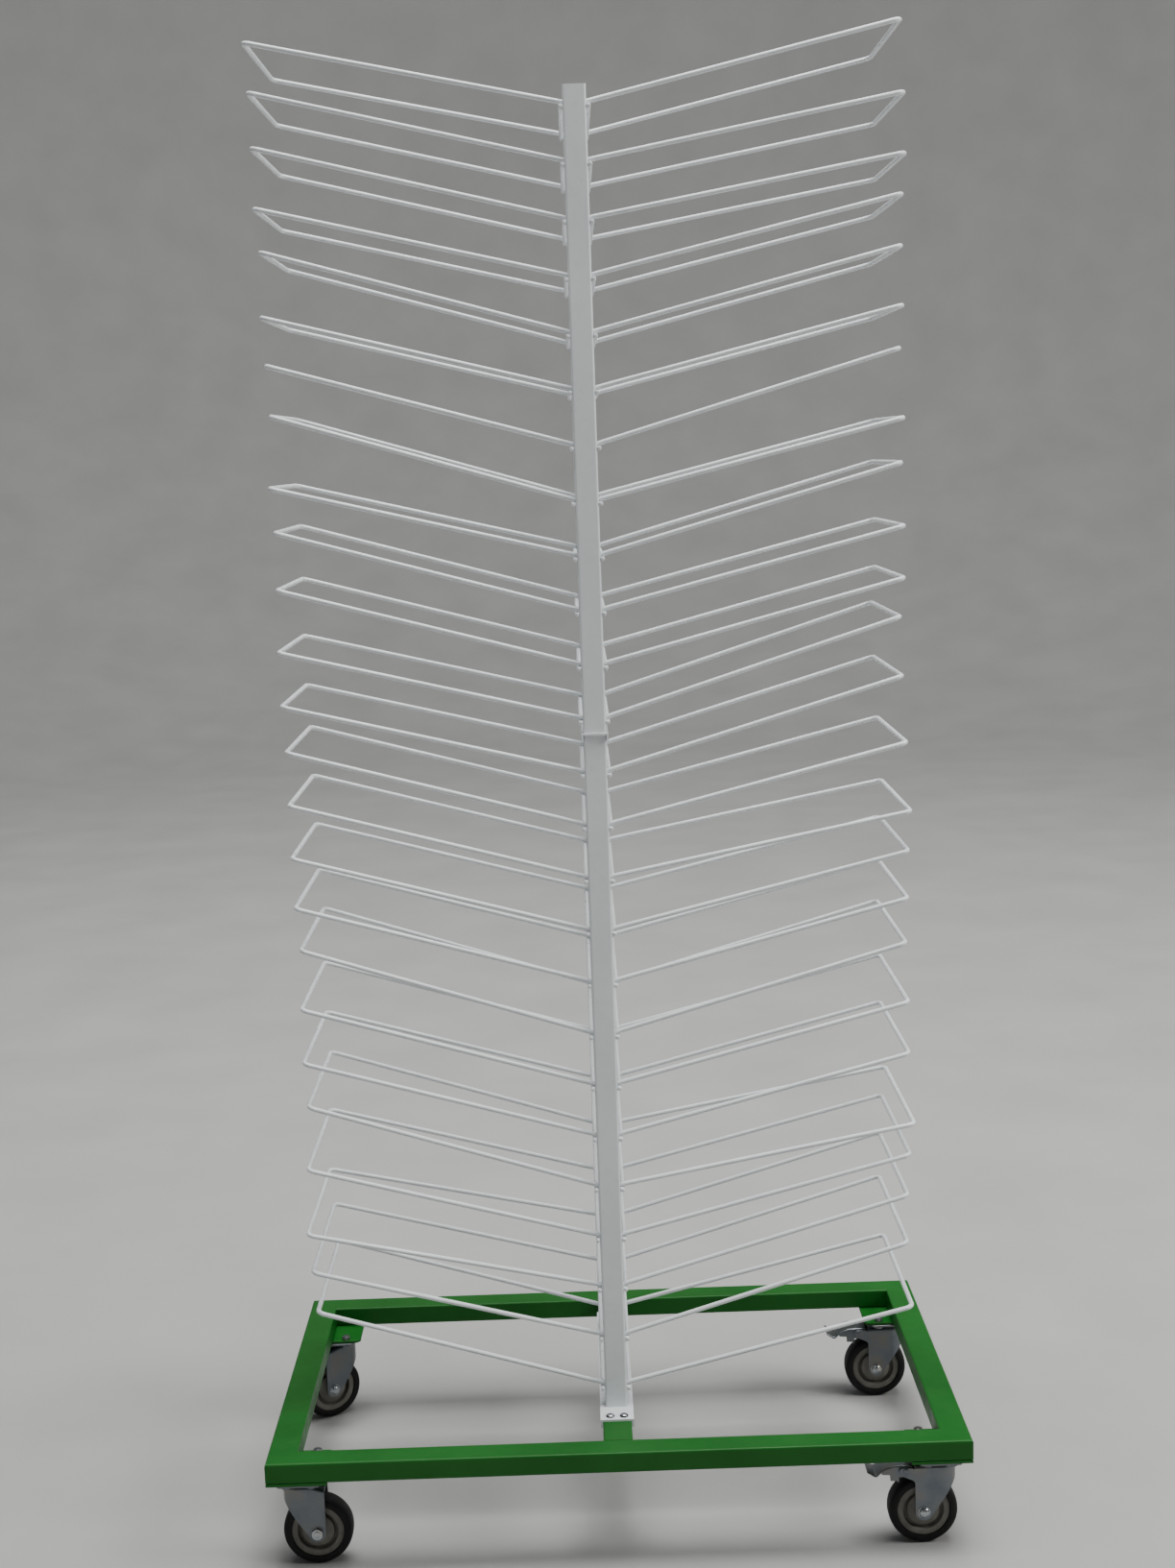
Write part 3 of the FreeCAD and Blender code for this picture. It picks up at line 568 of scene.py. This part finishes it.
# cheek and tongue as (x, z), rivet as radius and distance along, top and lower edge as x beside z,
# stations as runs of (first x, last x, count)
brake = {"pin": (0.046, 0.1135), "half": 0.0182, "flange": 0.0025, "strip": 0.0028, "corner": 0.0022,
         "cornerSteps": 5, "soften": 0.0015, "softenSteps": 7, "leastLip": 0.0002, "leastWall": 0.0001,
         "edge": 0.0005, "cheekProud": 0.00005,
         "cheek": [(0.0190, 0.0945), (0.0328, 0.0945), (0.0336, 0.0965), (0.0360, 0.0988), (0.0420, 0.1014),
                   (0.0500, 0.1050), (0.0533, 0.1076), (0.0550, 0.1106), (0.0554, 0.1136), (0.0546, 0.1159),
                   (0.0524, 0.1176), (0.0490, 0.1182), (0.0380, 0.1180), (0.0340, 0.1169), (0.0190, 0.1169)],
         "rivet": [(0, -0.0230), (0.0020, -0.0229), (0.0036, -0.0225), (0.0044, -0.0218), (0.0045, -0.0212),
                   (0.0030, -0.0211), (0.0030, 0.0211), (0.0045, 0.0212), (0.0044, 0.0218), (0.0036, 0.0225),
                   (0.0020, 0.0229), (0, 0.0230)],
         "topX": [0.036, 0.050, 0.062, 0.070, 0.080, 0.0865, 0.0895, 0.1010],
         "topZ": [0.1200, 0.1204, 0.1200, 0.1182, 0.1135, 0.1074, 0.1070, 0.1143],
         "lowX": [0.036, 0.0558, 0.0566, 0.0674, 0.0682, 0.0800, 0.0810],
         "lowZ": [0.1032, 0.1032, 0.0977, 0.0977, 0.1068, 0.1075, 0.1200],
         "stations": [(0.0362, 0.0552, 14), (0.0557, 0.0567, 3), (0.0590, 0.0660, 5), (0.0673, 0.0683, 3),
                      (0.0690, 0.1008, 40)],
         "tongue": [(0.0540, 0.0926), (0.0565, 0.0926), (0.0565, 0.1180), (0.0540, 0.1180)],
         "tongueHalf": 0.012}


def pedalShell():
    # upside-down channel section at each station along the pedal: outer side, rounded shoulder, top,
    # then back along the inside; the flanges end where their lower edge meets the strip
    b = brake
    x = np.concatenate([np.linspace(*run) for run in b["stations"]])
    soften = np.linspace(-b["soften"], b["soften"], b["softenSteps"])
    top = np.interp(x[:, None] + soften, b["topX"], b["topZ"]).mean(1)
    low = np.minimum(np.interp(x, b["lowX"], b["lowZ"]), top - b["strip"] - b["leastLip"])
    turn = np.linspace(0, np.pi / 2, b["cornerSteps"])
    half, corner, wall = b["half"], b["corner"], b["flange"]
    shoulderY = half - corner + corner * np.cos(turn)
    shoulderZ = -corner + corner * np.sin(turn)
    outerY = np.concatenate([[-half], -shoulderY, shoulderY[::-1], [half]])
    outerZ = np.concatenate([[0], shoulderZ, shoulderZ[::-1], [0]])
    section = np.stack([np.tile(outerY, (len(x), 1)), top[:, None] + outerZ], -1)
    section[:, 0, 1] = section[:, -1, 1] = low
    ceiling = np.maximum(top - b["strip"], low + b["leastWall"])
    inside = np.stack([np.tile([half - wall, half - wall, wall - half, wall - half], (len(x), 1)),
                       np.stack([low, ceiling, ceiling, low], -1)], -1)
    ring = np.concatenate([section, inside], 1)
    return skin(np.concatenate([np.tile(x[:, None, None], (1, ring.shape[1], 1)), ring], -1))


for corner in casters:
    tag = cornerTag(corner)
    braked = corner.endswith("right")
    metal = [pressedSheet(0 if braked else fork["tailDrop"]), spin(fork["crown"], steps=72, upright=True)]
    if braked:
        inner, outer, edge = fork["half"] - fork["sheet"], fork["half"] + brake["cheekProud"], brake["edge"]
        metal.append(trimmedPlate(brake["cheek"], inner, outer, edge))
        metal.append(trimmedPlate(brake["cheek"], -outer, -inner, edge))
        metal.append(shifted(spin(brake["rivet"], steps=32), (brake["pin"][0], 0, brake["pin"][1])))
        tongue = trimmedPlate(brake["tongue"], -brake["tongueHalf"], brake["tongueHalf"], edge)
        body = corner.replace("right", "brake")
        makePiece("pedal" + tag, atCorner([pedalShell(), tongue], corner), body, [body + "_pedal"],
                  zinc, sharpAbove=35)
    makePiece("fork" + tag, atCorner(metal, corner), corner + "_caster", [corner + "_fork"], zinc,
              sharpAbove=35)
    axleParts = [spin(fork["domeHead"]), hexagonNut(fork["nutFlat"], fork["nutHeights"], fork["nutLimits"]),
                 spin(fork["threadEnd"], steps=32), spin(fork["shank"], steps=32)]
    axleBolt = [shifted(part, axlePlace) for part in axleParts]
    makePiece("axleBolt" + tag, atCorner(axleBolt, corner), corner + "_caster", [corner + "_fork"],
              brightBolt, sharpAbove=35)
print("forks pressed, brakes pinned, axles bolted")


# race and kingpin as radius and height
topPlate = {"halfX": 0.030, "halfY": 0.053, "corner": 0.004, "low": 0.1355, "high": 0.1390, "edge": 0.0005,
            "raceAndPin": [(0, 0.1357), (0.0296, 0.1357), (0.0302, 0.1345), (0.0302, 0.1326),
                           (0.0297, 0.1306), (0.0285, 0.1290), (0.0268, 0.1281), (0.0252, 0.1278),
                           (0.0060, 0.1278), (0.0060, 0.1169), (0.0094, 0.1167), (0.0100, 0.1160),
                           (0.0100, 0.1146), (0.0092, 0.1139), (0, 0.1137)]}
cornerPlate = {"x": 0.413, "y": 0.195, "farX": 0.500, "farY": 0.300, "cut": 0.006, "low": 0.139,
               "high": 0.143, "edge": 0.0006}


def roundedOutline(halfX, halfY, radius, steps=6):
    # four quarter circles, each about its own corner centre, joined by straight sides
    t = np.linspace(0, np.pi / 2, steps)
    quarters = []
    for quarter, (signX, signY) in enumerate(((1, 1), (-1, 1), (-1, -1), (1, -1))):
        angle = t + quarter * np.pi / 2
        quarters.append(np.stack([signX * (halfX - radius) + radius * np.cos(angle),
                                  signY * (halfY - radius) + radius * np.sin(angle)], -1))
    return np.concatenate(quarters)


p, c = topPlate, cornerPlate
plateOutline = roundedOutline(p["halfX"], p["halfY"], p["corner"])
plates, raised = [], []
for x, y, _ in casters.values():
    plates.append(shifted(trimmedPlate(plateOutline, p["low"], p["high"], p["edge"], lying=True), (x, y, 0)))
    plates.append(shifted(spin(p["raceAndPin"], steps=72, upright=True), (x, y, 0)))
    outline = np.array([(c["farX"], c["farY"]), (c["x"], c["farY"]), (c["x"], c["y"] + c["cut"]),
                        (c["x"] + c["cut"], c["y"]), (c["farX"], c["y"])]) * [np.sign(x), np.sign(y)]
    raised.append(trimmedPlate(outline, c["low"], c["high"], c["edge"], lying=True))
makePiece("topPlates", plates, "rack", ["caster_plates"], zinc, sharpAbove=35)
makePiece("cornerPlates", raised, "rack", ["corner_plates"], greenCoat, sharpAbove=35)
print("caster plates and corner plates laid")


# head and nut as ring heights and ring limits, thread end and screw dome as radius and height
bolts = {"stepX": 0.018, "stepY": 0.042, "flat": 0.00606,
         "head": ([0.1360, 0.1352, 0.1320, 0.1312], [0.0070, 0.0070, 0.0070, 0.0061]),
         "nut": ([0.1425, 0.1436, 0.1474, 0.1482], [0.0062, 0.0070, 0.0070, 0.0061]),
         "end": [(0, 0.1470), (0.0040, 0.1470), (0.0040, 0.1483), (0.0035, 0.1488), (0, 0.1488)],
         "screwX": 0.010, "screwY": 0.188,
         "dome": [(0, 0.1755), (0.0064, 0.1755), (0.0065, 0.1763), (0.0062, 0.1773), (0.0052, 0.1785),
                  (0.0038, 0.1792), (0.0025, 0.17945), (0.0021, 0.1794), (0.0018, 0.1780), (0, 0.1780)]}

plateBolts = []
for x, y, _ in casters.values():
    for stepX in (-1, 1):
        for stepY in (-1, 1):
            at = (x + stepX * bolts["stepX"], y + stepY * bolts["stepY"], 0)
            plateBolts.append(shifted(hexagonNut(bolts["flat"], *bolts["head"], upright=True), at))
            if stepX * x < 0 and stepY * y < 0:  # the innermost bolt's nut stands on the corner plate
                plateBolts.append(shifted(hexagonNut(bolts["flat"], *bolts["nut"], upright=True), at))
                plateBolts.append(shifted(spin(bolts["end"], steps=24, upright=True), at))
makePiece("plateBolts", plateBolts, "rack", ["caster_bolts"], zinc, sharpAbove=30)
dome = spin(bolts["dome"], steps=40, upright=True)
domes = [shifted(dome, (x * bolts["screwX"], y * bolts["screwY"], 0)) for x in (-1, 1) for y in (-1, 1)]
makePiece("footScrews", domes, "rack", ["foot_screws"], screwDome, sharpAbove=50)
print("bolts and screws in")


baseWeld = {"y": 0.258, "topZ": 0.1724, "topHalf": 0.0195, "sideX": 0.0205, "sideZ": 0.158,
            "sideHalf": 0.0125, "bead": {"size": 0.0013, "power": 4, "stations": 15, "steps": 12}}

welds = []
for y in (-baseWeld["y"], baseWeld["y"]):
    points, faces = drawnBead(baseWeld["bead"], baseWeld["topHalf"])
    welds.append(shifted((turnZ(points, 90), faces), (0, y, baseWeld["topZ"])))
    for x in (-baseWeld["sideX"], baseWeld["sideX"]):
        upright = drawnBead(baseWeld["bead"], baseWeld["sideHalf"], upright=True)
        welds.append(shifted(upright, (x, y, baseWeld["sideZ"])))
makePiece("baseWelds", welds, "rack", [], greenCoat)
print("cross member welded in")


# every solid takes the finish of its slot, and shows it where no piece stands in for it
finishBySlot = {"green_paint": greenCoat, "white_paint": whiteCoat, "zinc": zinc, "tyre_rubber": tyreRubber,
                "hub_plastic": hubPlastic}
for entry in frame["record"]["subparts"]:
    mesh = frame["nodes"][entry["node"]].data
    mesh.materials.clear()
    mesh.materials.append(finishBySlot[entry["material_slot"]])
print("solids finished")


# lights as name, place, target, size, power and colour
studio = {"flat": 8.0, "bend": 5.0, "wallTop": 14.0, "around": 96, "flatRings": 9, "bendRings": 25,
          "wallRings": 4, "middle": (0, 0, 1), "world": (0.80, 0.84, 0.90), "worldStrength": 0.16,
          "lights": [("overhead", (0.5, -0.4, 8.0), (0.1, 0.0, 0.6), 4.5, 900, (1.0, 0.99, 0.97)),
                     ("rightWindow", (5.2, -1.4, 3.8), (0.0, 0.0, 1.1), 2.0, 210, (1.0, 0.98, 0.95)),
                     ("frontFill", (-3.4, -5.0, 2.4), (0.0, 0.0, 1.0), 2.6, 14, (0.92, 0.96, 1.0)),
                     ("backdropWash", (0.0, 3.0, 9.0), (0.0, 11.0, 2.0), 6.0, 420, (1.0, 1.0, 1.0))]}


def floorBowl():
    # wide bowl turned round Z, flat under the rack: radius and height of its rings follow
    # flat + bend sin t and bend (1 - cos t), then the wall goes straight up
    s = studio
    t = np.linspace(0, np.pi / 2, s["bendRings"])[1:]
    wall = np.linspace(s["bend"], s["wallTop"], s["wallRings"])[1:]
    radius = np.concatenate([np.linspace(0, s["flat"], s["flatRings"]), s["flat"] + s["bend"] * np.sin(t),
                             np.full(len(wall), s["flat"] + s["bend"])])
    height = np.concatenate([np.zeros(s["flatRings"]), s["bend"] * (1 - np.cos(t)), wall])
    angle = np.linspace(0, 2 * np.pi, s["around"], endpoint=False)
    bowl = roundAxis(np.outer(radius, np.cos(angle)), np.outer(radius, np.sin(angle)),
                     np.tile(height[:, None], (1, s["around"])), upright=True)
    return skin(bowl, capped=False)


floorMesh = closedMesh("paleFloor", *floorBowl(), seenFrom=studio["middle"])
floorMesh.materials.append(paleFloor)
floor = bpy.data.objects.new("paleFloor", floorMesh)
bpy.context.scene.collection.objects.link(floor)

world = bpy.data.worlds.new("studioAir")
bpy.context.scene.world = world
world.use_nodes = True
air = world.node_tree.nodes["Background"]
air.inputs["Color"].default_value = (*studio["world"], 1)
air.inputs["Strength"].default_value = studio["worldStrength"]


def aimed(position, target):
    # right, up and forward of a view from position to target: right = forward x Z, up = right x forward
    forward = np.array(target, float) - np.array(position, float)
    forward /= np.linalg.norm(forward)
    right = np.cross(forward, [0, 0, 1.0])
    right /= np.linalg.norm(right)
    return right, np.cross(right, forward), forward


def placed(position, right, up, forward):
    # matrix with right, up, backward and the place as its columns
    rows = [[right[k], up[k], -forward[k], position[k]] for k in range(3)] + [[0, 0, 0, 1]]
    return Matrix(rows)


for name, position, target, size, power, colour in studio["lights"]:
    lamp = bpy.data.lights.new(name, "AREA")
    lamp.size, lamp.energy, lamp.color = size, power, colour
    lampObject = bpy.data.objects.new(name, lamp)
    lampObject.matrix_world = placed(position, *aimed(position, target))
    bpy.context.scene.collection.objects.link(lampObject)

view = {"focalPixels": 2251.28, "imageWidth": 1224, "sensorWidth": 36,
        "position": (-0.02371, -3.16606, 1.56726), "yaw": 0.2121, "down": 8.7302, "roll": -1.9015}
yaw, down, roll = (math.radians(view[key]) for key in ("yaw", "down", "roll"))
forward = np.array([math.sin(yaw) * math.cos(down), math.cos(yaw) * math.cos(down), -math.sin(down)])
right = np.array([math.cos(yaw), -math.sin(yaw), 0])
up = np.cross(right, forward)
rolledRight = math.cos(roll) * right + math.sin(roll) * up
rolledUp = -math.sin(roll) * right + math.cos(roll) * up
cameraData = bpy.data.cameras.new("rackView")
cameraData.sensor_fit = "HORIZONTAL"
cameraData.sensor_width = view["sensorWidth"]
cameraData.lens = view["focalPixels"] * view["sensorWidth"] / view["imageWidth"]
cameraData.dof.use_dof = False
camera = bpy.data.objects.new("rackView", cameraData)
camera.matrix_world = placed(view["position"], rolledRight, rolledUp, forward)
bpy.context.scene.collection.objects.link(camera)
bpy.context.scene.camera = camera
print("studio ready")
